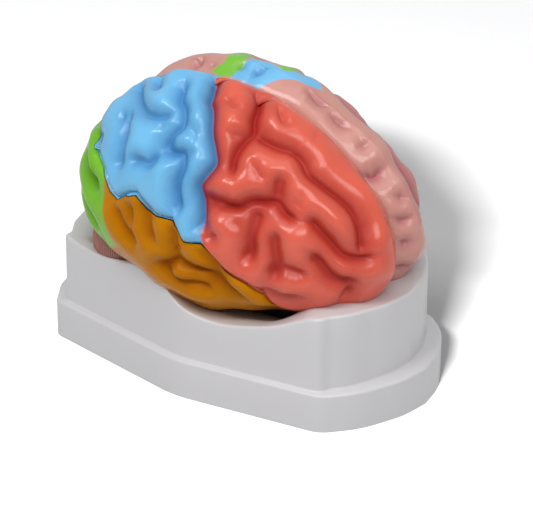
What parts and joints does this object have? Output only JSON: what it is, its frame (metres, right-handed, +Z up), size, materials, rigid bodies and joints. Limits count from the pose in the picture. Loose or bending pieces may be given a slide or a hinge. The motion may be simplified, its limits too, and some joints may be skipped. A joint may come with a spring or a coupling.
{
  "type": "brain anatomy model",
  "caption": "Take-apart teaching model of a human brain with coloured lobes and folded surface, resting in the bowl of a white moulded stand.",
  "frame": {"origin": "centre of the stand's footprint, on the surface it stands on", "axes": "+Z up, -Y towards the front of the brain, -X towards its right side"},
  "size_m": [0.1211, 0.207, 0.1506],
  "materials": {
    "stand": "white moulded plastic, satin gloss",
    "right_upper": "glossy paint, coral red frontal lobe and light blue parietal lobe",
    "right_lower": "glossy paint, ochre temporal lobe and lime green occipital lobe",
    "left_half": "glossy beige-pink paint with mauve furrows and fields of green and blue",
    "cerebellum": "brown-pink paint with fine folds",
    "brainstem": "ivory paint",
    "pin": "plain steel"
  },
  "bodies": {
    "stand_and_lower_brain": {"stand": "stand", "right_temporal_occipital": "right_lower", "left_temporal_occipital": "left_half", "right_cerebellum": "cerebellum", "left_cerebellum": "cerebellum", "right_brainstem": "brainstem", "left_brainstem": "brainstem", "right_front_pin": "pin", "right_rear_pin": "pin", "left_front_pin": "pin", "left_rear_pin": "pin", "brainstem_pin": "pin", "cerebellum_pin": "pin", "temporal_occipital_pin": "pin"},
    "right_upper": {"right_frontal_parietal": "right_upper"},
    "left_upper": {"left_frontal_parietal": "left_half"}
  },
  "joints": [
    {"name": "right_upper_lift", "type": "slide", "parent": "stand_and_lower_brain", "child": "right_upper", "axis": [0, 0, 1], "range_m": [0, 0.12]},
    {"name": "left_upper_lift", "type": "slide", "parent": "stand_and_lower_brain", "child": "left_upper", "axis": [0, 0, 1], "range_m": [0, 0.12]}
  ]
}
